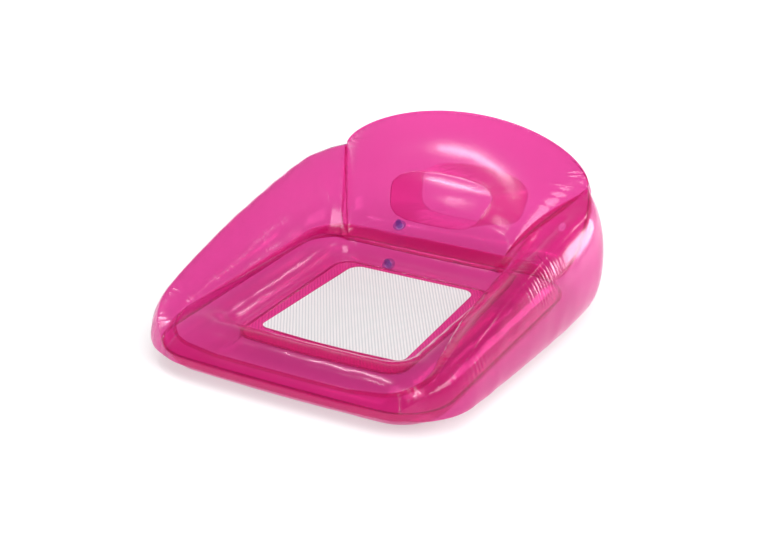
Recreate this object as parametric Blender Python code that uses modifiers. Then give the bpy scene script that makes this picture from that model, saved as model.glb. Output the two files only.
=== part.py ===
"""Inflatable pool chair: a flat seat ring with a drain mesh, and a horseshoe air chamber that is welded to the
outside of the ring and makes the backrest and both arms. Every film sheet is its own shell.

Metres, +Z up. The chair faces -Y and +X is its left arm as one sits in it. Stations run round the ring from the
middle of its back, 0, to the middle of its front, and are negative on the -X side.
"""
import math

import bmesh
import bpy
import numpy as np
from mathutils import Matrix, Vector
from mathutils.bvhtree import BVHTree

# Film and welds
FILM = 0.0004
WELD_GAP = 0.0003
WELD_WIDTH = 0.008
SEAM_START = 0.001
MESH_THICKNESS = 0.0005
JUNCTION_GAP = 0.0009

# Seat ring, measured between its weld lines
RING_WIDTH = 0.752
RING_DEPTH = 0.809
SIDE_TUBE = 0.1475
FRONT_TUBE = 0.144
BACK_TUBE = 0.1445
SEAM_HEIGHT = 0.0625
TUBE_RISE = 0.0665
FRONT_CORNER = 0.115
FRONT_BOW = 0.008
BACK_CORNER = 0.12
WELL_CORNER = 0.05
BORDER_WIDTH = 0.0325
WINDOW_CORNER = 0.022
SIDE_ANGLE = 64
FLAT_ANGLE = 10
WELD_HALF_ANGLE = 3.5
BOTTOM_ANGLES = (-19, -38, -58, -80, -100, -127, -155)
RING_INNER_STEPS = 6
RING_OUTER_STEPS = 4

# Backrest and arms
CHAIR_HEIGHT = 0.412
RIDGE_FIN = 0.005
CREST_SETBACK = 0.588
SHOULDER_HALF_WIDTH = 0.359
SHOULDER_HEIGHT = 0.29
SHOULDER_SETBACK = 0.5165
ARM_HEIGHT = 0.284
CREST_ROUNDING_SHARE = 1.25
ARM_SPREAD = 0.021
ARM_LEAN = 0.03
NOSE_SPREAD = 0.016
NOSE_HEIGHT = 0.07
BAND_BULGE = 0.014
WEB_LIFT = 0.0009
WEB_TOP_SHARE = 0.96
AIR_PASSAGE_RADIUS = 0.012

# Headrest baffle, an oval wall between the backrest's two sheets: half its width, half its height and its middle,
# as shares across and up the front and the rear sheet
HEADREST_FRONT_SHARES = (0.41, 0.245, 0.37)
HEADREST_REAR_SHARES = (0.41, 0.2, 0.44)
HEADREST_ROUNDING_SHARE = 0.8
HEADREST_WELD_SHARE = 0.92
HEADREST_ASPECT_SHARE = 0.5
HEADREST_DEPTH = 0.014
PILLOW_DEPTH = 0.003

# How deep the sheets lie at each ring round the headrest, as (size of the ring, depth)
HEADREST_DEPTHS = ((1.35, HEADREST_DEPTH / 4), (1, HEADREST_DEPTH), (HEADREST_WELD_SHARE, HEADREST_DEPTH))
PILLOW_DEPTHS = ((0.72, HEADREST_DEPTH * 0.4), (0.4, PILLOW_DEPTH))
SPREAD_SHARE = 0.62

# Valves, along their own axis from the outside of the film
VALVE_RADIUS = 0.0185
VALVE_THICKNESS = 0.0008
SLEEVE_RADIUS = 0.0085
SLEEVE_BORE = 0.0075
SLEEVE_DEPTH = 0.017
STEM_RADIUS = 0.0072
STEM_BORE = 0.0048
STEM_LENGTH = 0.0165
LIP_RADIUS = 0.009
LIP_THICKNESS = 0.0015
PLUG_RADIUS = 0.008
PLUG_THICKNESS = 0.002
SHANK_RADIUS = 0.0045
SHANK_LENGTH = 0.006
TAB_LENGTH = 0.006
TAB_WIDTH = 0.005
FLAP_RADIUS = 0.0062
FLAP_THICKNESS = 0.0005
VALVE_SEGMENTS = 20
SHARP_ANGLE = 40
RING_VALVE_SETOVER = 0.16
RING_VALVE_ANGLE = -48
BACKREST_VALVE = (-0.1884, 0.5095, 0.0787)

# Stations from the middle of the back: along it, round its corner to the seam between backrest and arm, on round the
# corner, along the side, round the front corner and along half of the front
BACK_RUN_STEPS = 4
BACK_TURN_STEPS = 2
SIDE_TURN_STEPS = 3
SIDE_RUN_STEPS = 7
FRONT_TURN_STEPS = 4
FRONT_RUN_STEPS = 3
JUNCTION = BACK_RUN_STEPS + BACK_TURN_STEPS
SIDE_START = JUNCTION + SIDE_TURN_STEPS
SIDE_END = SIDE_START + SIDE_RUN_STEPS
FRONT_START = SIDE_END + FRONT_TURN_STEPS
FRONT_MIDDLE = FRONT_START + FRONT_RUN_STEPS
NOSE = FRONT_START - 1
BACK_STATIONS = (*range(JUNCTION), JUNCTION - 0.4, JUNCTION)
ARM_STATIONS = (JUNCTION, JUNCTION + 0.3, *range(JUNCTION + 1, NOSE + 1))
BAND_STATIONS = tuple(range(NOSE, FRONT_MIDDLE + 1))
HALF_RING = (*BACK_STATIONS, *ARM_STATIONS[1:], *BAND_STATIONS[1:])
RING_STATIONS = (*[-station for station in HALF_RING[-2:0:-1]], *HALF_RING)
SHEET_STEPS = 6
# Where round the ring's tube the chamber's sheets are welded, as (station, degrees)
UPPER_WELD_ANGLES = (
    (0, 117),
    (JUNCTION, 117),
    (SIDE_START + 1, 101),
    (SIDE_END - 2, 92),
    (NOSE, 34),
    (FRONT_START + 1, 20),
)
# How far the sheets' handles stand inwards and up at their two ends
BACK_FRONT_HANDLES = ((-0.04, 0.11), (0.11, -0.05))
BACK_REAR_HANDLES = ((-0.19, -0.05), (-0.075, -0.03))
ARM_INNER_HANDLES = ((0.03, 0.05), (0.14, 0.0))
ARM_OUTER_HANDLES = ((-0.155, -0.1), (-0.07, -0.01))
NOSE_INNER_HANDLES = ((-0.005, 0.006), (0.0, 0.012))
NOSE_OUTER_HANDLES = ((-0.004, -0.026), (0.0, -0.02))
CREASE_HANDLES = ((0.02, 0.06), (0.05, -0.06))
ARM_SWELL_STEPS = 3

OUTER_STACK = FILM + WELD_GAP / 2
INNER_STACK = 2 * FILM + MESH_THICKNESS / 2 + 2 * WELD_GAP


def mix(a, b, share):
    return a + (b - a) * share


def outline(half_width, front, back, front_radius, back_radius, station):
    """A point of a rounded rectangle and its outward direction, at a station."""
    s = abs(station)
    if s <= BACK_RUN_STEPS:
        point = np.array([mix(0, half_width - back_radius, s / BACK_RUN_STEPS), back])
        out = np.array([0.0, 1.0])
    elif s <= SIDE_START:
        if s <= JUNCTION:
            angle = mix(90, SIDE_ANGLE, (s - BACK_RUN_STEPS) / BACK_TURN_STEPS)
        else:
            angle = mix(SIDE_ANGLE, 0, (s - JUNCTION) / SIDE_TURN_STEPS)
        out = np.array([math.cos(math.radians(angle)), math.sin(math.radians(angle))])
        point = np.array([half_width - back_radius, back - back_radius]) + back_radius * out
    elif s <= SIDE_END:
        share = (s - SIDE_START) / SIDE_RUN_STEPS
        point = np.array([half_width, mix(back - back_radius, front + front_radius, share)])
        out = np.array([1.0, 0.0])
    elif s <= FRONT_START:
        angle = math.radians(mix(0, -90, (s - SIDE_END) / FRONT_TURN_STEPS))
        out = np.array([math.cos(angle), math.sin(angle)])
        point = np.array([half_width - front_radius, front + front_radius]) + front_radius * out
    else:
        share = (s - FRONT_START) / FRONT_RUN_STEPS
        point = np.array([mix(half_width - front_radius, 0, share), front])
        out = np.array([0.0, -1.0])
    if point[1] < front + front_radius:
        point[1] -= FRONT_BOW * (1 - (point[0] / half_width) ** 2) ** 1.5
    flip = np.array([-1 if station < 0 else 1, 1])
    return point * flip, out * flip


def outer_seam(station):
    half_depth = RING_DEPTH / 2
    return outline(RING_WIDTH / 2, -half_depth, half_depth, FRONT_CORNER, BACK_CORNER, station)


def well_edge(station, inset=0, radius=WELL_CORNER):
    """The ring's inner weld line, or the line at a distance inside it."""
    half_depth = RING_DEPTH / 2
    return outline(
        RING_WIDTH / 2 - SIDE_TUBE - inset,
        FRONT_TUBE - half_depth + inset,
        half_depth - BACK_TUBE - inset,
        radius,
        radius,
        station,
    )


def ring_point(station, angle, lift=0):
    """A point of the ring's tube at a station: 0 degrees is the outer seam, 90 the top and 180 the inner weld."""
    outer = outer_seam(station)[0]
    inner = well_edge(station)[0]
    middle = (inner + outer) / 2
    half = np.linalg.norm(outer - inner) / 2
    across = (outer - inner) / (2 * half)
    turn = math.radians(angle)
    rise = TUBE_RISE if angle >= 0 else SEAM_HEIGHT / math.cos(math.radians(FLAT_ANGLE))
    normal = np.array([math.cos(turn) / half, math.sin(turn) / rise])
    normal /= np.linalg.norm(normal)
    flat = middle + across * (half * math.cos(turn) + lift * normal[0])
    return np.array([*flat, SEAM_HEIGHT + rise * math.sin(turn) + lift * normal[1]])


def flange_point(line, station, reach, height):
    point, out = line(station)
    return np.array([*(point + out * reach), height])


def weld_angle(station):
    """Where round the ring's tube the chamber's inner sheet is welded to it."""
    stations, angles = zip(*UPPER_WELD_ANGLES)
    return np.interp(abs(station), stations, angles)


def upper_weld(station, row=0):
    """The weld strip on the ring: row 0 is where the chamber's sheet leaves the ring, row 1 its other edge."""
    angle = weld_angle(station) + WELD_HALF_ANGLE * (1 - 2 * row)
    return ring_point(station, angle, WELD_GAP)


def lower_weld(station, row=0):
    """The weld strip under the ring's outer flange: row 0 is the flange's outer edge, row 1 its inner edge."""
    reach = SEAM_START + WELD_WIDTH * (1 - row)
    return flange_point(outer_seam, station, reach, SEAM_HEIGHT - OUTER_STACK - WELD_GAP - FILM)


def ridge(station):
    """The top edge of the backrest, where its two sheets are welded together, and the top line of the arms."""
    s = abs(station)
    side = -1 if station < 0 else 1
    if s <= JUNCTION:
        turn = math.radians(90) * s / JUNCTION
        share = max(0, math.cos(turn)) ** CREST_ROUNDING_SHARE
        return np.array(
            [
                side * SHOULDER_HALF_WIDTH * math.sin(turn),
                mix(SHOULDER_SETBACK, CREST_SETBACK, share),
                mix(SHOULDER_HEIGHT, CHAIR_HEIGHT - RIDGE_FIN, share),
            ]
        )
    seam, out = outer_seam(s)
    if s > NOSE:
        share = min(1, (s - NOSE) / (FRONT_START + 1 - NOSE))
        point = seam + out * mix(NOSE_SPREAD, BAND_BULGE, share)
        return np.array([side * point[0], point[1], mix(NOSE_HEIGHT, SEAM_HEIGHT, share)])
    share = (s - JUNCTION) / (NOSE - JUNCTION)
    start = np.array([SHOULDER_HALF_WIDTH, SHOULDER_SETBACK]) - outer_seam(JUNCTION)[0]
    settle = (1 - share) ** 4
    nose = share**6
    spread = mix(ARM_SPREAD, NOSE_SPREAD, nose)
    lean = mix(ARM_LEAN, 0, share**3)
    offset = mix(out * spread + np.array([0, lean]), start, settle)
    point = seam + offset
    nose_seam, nose_out = outer_seam(NOSE)
    nose_y = nose_seam[1] + nose_out[1] * NOSE_SPREAD
    along = (SHOULDER_SETBACK - point[1]) / (SHOULDER_SETBACK - nose_y)
    top = mix(ARM_HEIGHT, SHOULDER_HEIGHT, settle)
    height = mix(NOSE_HEIGHT, top, max(0, 1 - along**1.8) ** 0.62)
    return np.array([side * point[0], point[1], height])


def puff(station):
    """How far a sheet swells: none on a junction, full in the middle of a panel."""
    s = abs(station)
    if s <= JUNCTION:
        return (1 - (s / JUNCTION) ** 6) ** 0.5
    share = min(1, (s - JUNCTION) / ARM_SWELL_STEPS)
    return (1 - (1 - share) ** 2.5) ** 0.5


def handle(station, inward, up):
    out = outer_seam(station)[1]
    return np.array([*(-out * inward), up])


def blended_handles(station, front):
    s = abs(station)
    if s <= JUNCTION:
        return BACK_FRONT_HANDLES if front else BACK_REAR_HANDLES
    share = min(1, (s - JUNCTION) / (NOSE - JUNCTION))
    arm = ARM_INNER_HANDLES if front else ARM_OUTER_HANDLES
    nose = NOSE_INNER_HANDLES if front else NOSE_OUTER_HANDLES
    fade = share**2.2
    return [[mix(a, n, fade) for a, n in zip(*pair)] for pair in zip(arm, nose)]


def chamber_point(station, share, front):
    """A point of the chamber's front or rear sheet: share 0 is at the ring, 1 at the ridge."""
    low = upper_weld(station) if front else lower_weld(station)
    high = ridge(station)
    low_handle, high_handle = [handle(station, *h) for h in blended_handles(station, front)]
    swell = puff(station)
    start, end = (high - low) / 3, (low - high) / 3
    if front:
        start, end = [handle(station, *h) for h in CREASE_HANDLES]
    a = low + mix(start, low_handle, swell)
    b = high + mix(end, high_handle, swell)
    t = share
    return (1 - t) ** 3 * low + 3 * (1 - t) ** 2 * t * a + 3 * (1 - t) * t**2 * b + t**3 * high


def forward(station):
    """The level direction along the ring, towards the chair's front."""
    side = -1 if station < 0 else 1
    out = outer_seam(station)[1]
    return np.array([out[1] * side, -out[0] * side, 0.0])


def section(station):
    """The chamber's outline across a station, from its weld on the ring over the top to its weld under the flange."""
    shares = [row / SHEET_STEPS for row in range(SHEET_STEPS + 1)]
    points = [upper_weld(station, 1)]
    points += [chamber_point(station, share, True) for share in shares]
    points += [chamber_point(station, share, False) for share in shares[-2::-1]]
    points.append(lower_weld(station, 1))
    return np.array(points)


def ring_top_angles(station):
    weld = weld_angle(station)
    inner = np.linspace(180, weld + WELD_HALF_ANGLE, RING_INNER_STEPS + 1)[1:]
    outer = np.linspace(weld - WELD_HALF_ANGLE, 0, RING_OUTER_STEPS + 1)[:-1]
    return [*inner, *outer]


def ring_top_section(station):
    reaches = (SEAM_START + WELD_WIDTH, SEAM_START)
    points = [flange_point(well_edge, station, -reach, SEAM_HEIGHT + INNER_STACK) for reach in reaches]
    points += [ring_point(station, angle) for angle in ring_top_angles(station)]
    points += [flange_point(outer_seam, station, reach, SEAM_HEIGHT + OUTER_STACK) for reach in reaches[::-1]]
    return np.array(points)


def ring_bottom_section(station):
    reaches = (SEAM_START + WELD_WIDTH, SEAM_START)
    points = [flange_point(outer_seam, station, reach, SEAM_HEIGHT - OUTER_STACK) for reach in reaches]
    points += [ring_point(station, angle) for angle in BOTTOM_ANGLES]
    points += [flange_point(well_edge, station, -reach, SEAM_HEIGHT - INNER_STACK) for reach in reaches[::-1]]
    return np.array(points)


def split(corners, other=False):
    """A quad as two triangles. Both sheets of a weld are split along the same diagonal, so that they stay apart."""
    a, b, c, d = corners
    return [(a, b, d), (b, c, d)] if other else [(a, b, c), (a, c, d)]


def strip(sections, closed=False, weld_row=None):
    """Points and faces of a sheet from its sections, which run so that its outside is on the left of each."""
    columns, rows = len(sections), len(sections[0])
    faces = []
    for i in range(columns if closed else columns - 1):
        for j in range(rows - 1):
            a = i * rows + j
            b = (i + 1) % columns * rows + j
            faces += split((a, b, b + 1, a + 1), j == weld_row)
    return np.concatenate(sections), faces


def border(height, facing_up):
    """The film frame round the mesh: from the weld line to the window."""
    sections = []
    for station in RING_STATIONS:
        outside = flange_point(well_edge, station, -WELD_GAP * 2, height)
        weld = flange_point(well_edge, station, -SEAM_START - WELD_WIDTH, height)
        point = well_edge(station, BORDER_WIDTH, WINDOW_CORNER)[0]
        rows = [np.array([*point, height]), weld, outside]
        sections.append(np.array(rows if facing_up else rows[::-1]))
    return strip(sections, True)


def mesh_panel():
    top = SEAM_HEIGHT + MESH_THICKNESS / 2
    points = [flange_point(well_edge, station, -SEAM_START, top) for station in RING_STATIONS]
    return np.array(points), [tuple(range(len(points)))[::-1]]


def arm(side):
    sections = [section(side * station) for station in ARM_STATIONS]
    sections[0] = sections[0] + forward(side * JUNCTION) * JUNCTION_GAP
    sections[-1] = sections[-1] - forward(side * NOSE) * JUNCTION_GAP
    return strip(sections if side > 0 else sections[::-1], weld_row=0)


def front_band():
    stations = [*BAND_STATIONS, *[-station for station in BAND_STATIONS[-2::-1]]]
    sections = [section(station) for station in stations]
    sections[0] = sections[0] + forward(NOSE) * JUNCTION_GAP
    sections[-1] = sections[-1] + forward(-NOSE) * JUNCTION_GAP
    return strip(sections, weld_row=0)


def junction_web(side):
    """The wall between the backrest and an arm, from the ring up to the shoulder."""
    station = side * JUNCTION
    weld = weld_angle(station)
    angles = [weld + WELD_HALF_ANGLE, *ring_top_angles(station)[-RING_OUTER_STEPS:]]
    bottom = [ring_point(station, angle, WEB_LIFT) for angle in angles]
    bottom.append(flange_point(outer_seam, station, WELD_WIDTH / 2, SEAM_HEIGHT + OUTER_STACK + WEB_LIFT))
    steps = np.linalg.norm(np.diff(bottom, axis=0), axis=1)
    across = np.array([0, *np.cumsum(steps)]) / steps.sum()
    top = ridge(station)
    start = chamber_point(station, 0, True)
    sections = []
    for row in range(SHEET_STEPS + 1):
        share = WEB_TOP_SHARE * row / SHEET_STEPS
        bow = chamber_point(station, share, True) - mix(start, top, share)
        sections.append(np.array([mix(point, top, share) + bow * (1 - w) for point, w in zip(bottom, across)]))
    return strip(sections)


def headrest_shares(front, angle, size=1):
    """A point of the headrest's rounded outline, as shares across and up a sheet of the backrest."""
    wide, tall, middle = HEADREST_FRONT_SHARES if front else HEADREST_REAR_SHARES
    cosine, sine = math.cos(angle), math.sin(angle)
    return np.array(
        [
            size * wide * math.copysign(abs(cosine) ** HEADREST_ROUNDING_SHARE, cosine),
            middle + size * tall * math.copysign(abs(sine) ** HEADREST_ROUNDING_SHARE, sine),
        ]
    )


def sheet_point(across, up, front, depth=0):
    """A point of a backrest sheet, pressed in by a depth."""
    station = across * JUNCTION
    point = chamber_point(station, up, front)
    if not depth:
        return point
    step = 0.01
    along = chamber_point(station + step, up, front) - chamber_point(station - step, up, front)
    rise = chamber_point(station, up + step, front) - chamber_point(station, up - step, front)
    normal = np.cross(along, rise) * (1 if front else -1)
    return point - normal / np.linalg.norm(normal) * depth


def backrest_sheet(front):
    """A sheet in rings round the headrest, with its weld strip on the ring and its fin along the ridge."""
    columns = (*[-station for station in BACK_STATIONS[:0:-1]], *BACK_STATIONS)
    spans = len(columns) - 1
    rows = range(1, SHEET_STEPS)
    rim = [(column / JUNCTION, 0) for column in columns]
    rim += [(1, row / SHEET_STEPS) for row in rows]
    rim += [(column / JUNCTION, 1) for column in columns][::-1]
    rim += [(-1, row / SHEET_STEPS) for row in rows][::-1]
    count = len(rim)
    middle = (HEADREST_FRONT_SHARES if front else HEADREST_REAR_SHARES)[2]
    angles = [math.atan2(up - middle, across * HEADREST_ASPECT_SHARE) for across, up in rim]
    lift = FILM + WELD_GAP / 2
    fins = []
    points = []
    for across, up in rim:
        point = sheet_point(across, up, front)
        if up == 1:
            station = across * JUNCTION
            rises = [point - chamber_point(station, 0.97, True), point - chamber_point(station, 0.97, False)]
            rise = sum(one / np.linalg.norm(one) for one in rises)
            rise /= np.linalg.norm(rise)
            ends = max(-JUNCTION, station - 0.01), min(JUNCTION, station + 0.01)
            ahead = np.cross(ridge(ends[1]) - ridge(ends[0]), rise)
            ahead *= (1 if front else -1) * lift / np.linalg.norm(ahead)
            point = point + ahead
            fins.append(point + rise * RIDGE_FIN)
        points.append(point)
    for place, angle in zip(rim, angles):
        points.append(sheet_point(*mix(headrest_shares(front, angle), np.array(place), SPREAD_SHARE), front))
    for size, depth in HEADREST_DEPTHS + PILLOW_DEPTHS:
        for angle in angles:
            points.append(sheet_point(*headrest_shares(front, angle, size), front, depth))
    rings = len(points) // count
    faces = []
    for ring in range(rings - 1):
        for i in range(count):
            a, b = ring * count + i, ring * count + (i + 1) % count
            faces += split((a, b, b + count, a + count))
    last = (rings - 1) * count
    points.append(sheet_point(0, middle, front, -PILLOW_DEPTH))
    faces += [(last + i, last + (i + 1) % count, len(points) - 1) for i in range(count)]
    weld = upper_weld if front else lower_weld
    foot = len(points)
    points += [weld(column, 1) for column in columns]
    for i in range(spans):
        faces += split((foot + i, foot + i + 1, i + 1, i), True)
    fin = len(points)
    points += fins
    first = spans + SHEET_STEPS
    for i in range(spans):
        faces += split((fin + i, fin + i + 1, first + i + 1, first + i))
    points = np.array(points)
    sides = [*range(spans, first + 1), foot + spans, fin]
    points[sides] -= forward(JUNCTION) * JUNCTION_GAP
    others = [0, *range(first + spans, count), foot, fin + spans]
    points[others] -= forward(-JUNCTION) * JUNCTION_GAP
    if not front:
        faces = [face[::-1] for face in faces]
    return points, faces


def face_normals(points, faces):
    """The normal at each point, from the faces round it."""
    mesh = bpy.data.meshes.new("normals")
    mesh.from_pydata([tuple(p) for p in points], [], faces)
    mesh.update()
    normals = np.array([v.normal for v in mesh.vertices])
    bpy.data.meshes.remove(mesh)
    return normals


def headrest_baffle(front_sheet, rear_sheet):
    """The oval wall: a lip under the front sheet's weld, the wall, and a lip under the rear sheet's weld."""
    count = 2 * (2 * len(BACK_STATIONS) - 2 + SHEET_STEPS)
    rows = []
    for points, faces in (front_sheet, rear_sheet):
        inside = points - face_normals(points, faces) * (FILM + 2 * WELD_GAP)
        outer = inside[3 * count : 4 * count]
        inner = inside[4 * count : 5 * count]
        rows.append((mix(outer, inner, 0.1), mix(outer, inner, 0.9)))
    (front_outer, front_inner), (rear_outer, rear_inner) = rows
    sections = [
        np.array([rear_inner[i], rear_outer[i], mix(rear_outer[i], front_outer[i], 0.5), front_outer[i], front_inner[i]])
        for i in range(count)
    ]
    return strip(sections, True)


def clear_scene():
    for obj in list(bpy.data.objects):
        bpy.data.objects.remove(obj, do_unlink=True)


def linear(colour):
    values = [int(colour[i : i + 2], 16) / 255 for i in (0, 2, 4)]
    return [v / 12.92 if v <= 0.04045 else ((v + 0.055) / 1.055) ** 2.4 for v in values]


def material(name, colour, roughness, alpha=1.0):
    made = bpy.data.materials.new(name)
    made.use_nodes = True
    shader = made.node_tree.nodes["Principled BSDF"]
    shader.inputs["Base Color"].default_value = (*linear(colour), 1)
    shader.inputs["Roughness"].default_value = roughness
    shader.inputs["Alpha"].default_value = alpha
    made.diffuse_color = (*linear(colour), 1)
    return made


def collection(name):
    made = bpy.data.collections.new(name)
    bpy.context.scene.collection.children.link(made)
    return made


def mesh_object(name, points, faces, home, surface=None):
    mesh = bpy.data.meshes.new(name)
    mesh.from_pydata([tuple(p) for p in points], [], faces)
    mesh.update()
    if surface:
        mesh.materials.append(surface)
    obj = bpy.data.objects.new(name, mesh)
    home.objects.link(obj)
    return obj


def thicken(obj, thickness, offset=-1):
    solidify = obj.modifiers.new("Film", "SOLIDIFY")
    solidify.thickness = thickness
    solidify.offset = offset


def combine(obj, other, operation):
    boolean = obj.modifiers.new(f"{operation.title()} {other.name}", "BOOLEAN")
    boolean.operation = operation
    boolean.solver = "EXACT"
    boolean.object = other


def turned(name, profile, home, frame, surface):
    """A turned solid from (radius, height) pairs, which run down its outer side, in a frame whose Z is its axis."""
    points = [(radius, 0, height) for radius, height in profile]
    open_ends = profile[0][0] == 0
    count = len(points)
    mesh = bpy.data.meshes.new(name)
    mesh.from_pydata(points, [(i, (i + 1) % count) for i in range(count - open_ends)], [])
    mesh.materials.append(surface)
    obj = bpy.data.objects.new(name, mesh)
    obj.matrix_world = frame
    home.objects.link(obj)
    screw = obj.modifiers.new("Turn", "SCREW")
    screw.steps = screw.render_steps = VALVE_SEGMENTS
    screw.use_merge_vertices = True
    screw.merge_threshold = FILM / 100
    screw.use_smooth_shade = True
    return obj


def rod(name, radius, bottom, top, home, frame, surface=None, off_axis=0):
    bm = bmesh.new()
    matrix = Matrix.Translation((off_axis, 0, (bottom + top) / 2))
    size = {"segments": VALVE_SEGMENTS, "radius1": radius, "radius2": radius, "depth": top - bottom}
    bmesh.ops.create_cone(bm, cap_ends=True, matrix=matrix, **size)
    return primitive(name, bm, home, frame, surface)


def primitive(name, bm, home, frame, surface=None):
    mesh = bpy.data.meshes.new(name)
    bm.to_mesh(mesh)
    bm.free()
    if surface:
        mesh.materials.append(surface)
    mesh.shade_smooth()
    mesh.set_sharp_from_angle(angle=math.radians(SHARP_ANGLE))
    obj = bpy.data.objects.new(name, mesh)
    obj.matrix_world = frame
    home.objects.link(obj)
    return obj


def valve(name, sheet, near, parts, cutters, plastic):
    """A stem valve welded to a sheet: its base, the sliding stem, the plug and the check flap."""
    points = np.array([v.co for v in sheet.data.vertices])
    normals = np.array([v.normal for v in sheet.data.vertices])
    tree = BVHTree.FromPolygons([v.co for v in sheet.data.vertices], [f.vertices for f in sheet.data.polygons])
    location, normal, _, _ = tree.find_nearest(Vector(near))
    level = Vector((0, 0, 1)).cross(normal).normalized()
    turn = Matrix((level, normal.cross(level), normal)).transposed().to_4x4()
    frame = Matrix.Translation(location) @ turn
    top = WELD_GAP + VALVE_THICKNESS
    patch = [
        tuple(face.vertices)
        for face in sheet.data.polygons
        if (face.center - location).length < 5 * VALVE_RADIUS and face.normal.dot(normal) > 0
    ]
    base = mesh_object(f"{name}_base", points + normals * top, patch, parts, plastic)
    thicken(base, VALVE_THICKNESS)
    disc = rod(f"{name} disc", VALVE_RADIUS, -VALVE_RADIUS, VALVE_RADIUS, cutters, frame)
    sleeve = rod(f"{name} sleeve", SLEEVE_RADIUS, -SLEEVE_DEPTH, top, cutters, frame)
    bore = rod(f"{name} bore", SLEEVE_BORE, -2 * SLEEVE_DEPTH, SLEEVE_DEPTH, cutters, frame)
    combine(base, disc, "INTERSECT")
    combine(base, sleeve, "UNION")
    combine(base, bore, "DIFFERENCE")
    hole = rod(f"{name} hole", SLEEVE_RADIUS + WELD_GAP, -SLEEVE_DEPTH, SLEEVE_DEPTH, cutters, frame)
    combine(sheet, hole, "DIFFERENCE")
    lip = top + WELD_GAP
    face = lip + LIP_THICKNESS
    end = face - STEM_LENGTH
    stem_profile = [(STEM_BORE, face), (LIP_RADIUS, face), (LIP_RADIUS, lip), (STEM_RADIUS, lip)]
    stem_profile += [(STEM_RADIUS, end), (STEM_BORE, end)]
    turned(f"{name}_stem", stem_profile, parts, frame, plastic)
    head = face + WELD_GAP
    cap = head + PLUG_THICKNESS
    plug_profile = [(0, cap), (PLUG_RADIUS, cap), (PLUG_RADIUS, head), (SHANK_RADIUS, head)]
    plug_profile += [(SHANK_RADIUS, head - SHANK_LENGTH), (0, head - SHANK_LENGTH)]
    plug = turned(f"{name}_plug", plug_profile, parts, frame, plastic)
    bm = bmesh.new()
    size = Vector((PLUG_RADIUS + TAB_LENGTH, TAB_WIDTH, PLUG_THICKNESS / 2))
    place = Matrix.Translation((size.x / 2, 0, (head + cap) / 2)) @ Matrix.Diagonal(size).to_4x4()
    bmesh.ops.create_cube(bm, size=1, matrix=place)
    combine(plug, primitive(f"{name} tab", bm, cutters, frame), "UNION")
    hinge = frame @ Matrix.Translation((FLAP_RADIUS, 0, end - WELD_GAP))
    rod(f"{name}_flap", FLAP_RADIUS, -FLAP_THICKNESS, 0, parts, hinge, plastic, -FLAP_RADIUS)


def build():
    clear_scene()
    parts = collection("Inflatable pool chair")
    cutters = collection("Cutters")
    film = material("Tinted clear vinyl film", "D9388C", 0.12, 0.6)
    border_film = material("Tinted clear vinyl border film", "D9388C", 0.12, 0.6)
    netting = material("White woven netting", "EBEBEB", 0.6)
    plastic = material("Sky blue soft vinyl", "BEDDFF", 0.3, 0.7)

    front_sheet, rear_sheet = backrest_sheet(True), backrest_sheet(False)
    upper = SEAM_HEIGHT + INNER_STACK - FILM - WELD_GAP
    lower = SEAM_HEIGHT - INNER_STACK + FILM + WELD_GAP
    top_sections = [ring_top_section(station) for station in RING_STATIONS]
    bottom_sections = [ring_bottom_section(station) for station in RING_STATIONS]
    sheets = {
        "seat_ring_top_sheet": strip(top_sections, True),
        "seat_ring_bottom_sheet": strip(bottom_sections, True),
        "mesh_border_upper": border(upper, True),
        "mesh_border_lower": border(lower, False),
        "seat_mesh_panel": mesh_panel(),
        "front_band_sheet": front_band(),
        "backrest_front_sheet": front_sheet,
        "backrest_rear_sheet": rear_sheet,
        "headrest_baffle": headrest_baffle(front_sheet, rear_sheet),
        "left_arm_sheet": arm(1),
        "right_arm_sheet": arm(-1),
        "left_junction_web": junction_web(1),
        "right_junction_web": junction_web(-1),
    }
    depths = np.concatenate([points[:, 1] for points, _ in sheets.values()])
    shift = np.array([0, (depths.max() + depths.min()) / 2, 0])
    made = {}
    for name, (points, faces) in sheets.items():
        surface = film
        if name == "seat_mesh_panel":
            surface = netting
        elif name.startswith("mesh_border"):
            surface = border_film
        made[name] = mesh_object(name, points - shift, faces, parts, surface)
        if name.endswith("web"):
            thicken(made[name], FILM, 0)
        else:
            thicken(made[name], MESH_THICKNESS if name == "seat_mesh_panel" else FILM)
        for polygon in made[name].data.polygons:
            polygon.use_smooth = name != "seat_mesh_panel"

    for side, name in ((1, "left_junction_web"), (-1, "right_junction_web")):
        middle = Vector(np.mean([v.co for v in made[name].data.vertices], axis=0))
        _, location, normal, _ = made[name].closest_point_on_mesh(middle)
        frame = Matrix.Translation(location) @ normal.to_track_quat("Z", "Y").to_matrix().to_4x4()
        passage = rod(f"{name} passage", AIR_PASSAGE_RADIUS, -AIR_PASSAGE_RADIUS, AIR_PASSAGE_RADIUS, cutters, frame)
        combine(made[name], passage, "DIFFERENCE")

    section_at = np.interp(RING_VALVE_SETOVER, [0, RING_WIDTH / 2 - BACK_CORNER], [0, BACK_RUN_STEPS])
    near_ring = ring_point(-section_at, RING_VALVE_ANGLE) - shift
    valve("ring_valve", made["seat_ring_bottom_sheet"], near_ring, parts, cutters, plastic)
    near_back = np.array(BACKREST_VALVE) - shift
    valve("backrest_valve", made["backrest_rear_sheet"], near_back, parts, cutters, plastic)

    for obj in cutters.objects:
        obj.hide_render = True
        obj.display_type = "WIRE"
    cutters.hide_render = True


build()
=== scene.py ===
"""Looks of an inflatable pool chair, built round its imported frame. Metres, +Z up; the chair faces -Y.

Stations run round the seat ring from the middle of its back, 0, to the middle of its front, and are negative
on the -X side. The film follows the same lines as the frame's sheets, in finer steps and with its wrinkles.
"""
import math

import bmesh
import bpy
import numpy as np
from mathutils import Matrix, Quaternion, Vector


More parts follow.
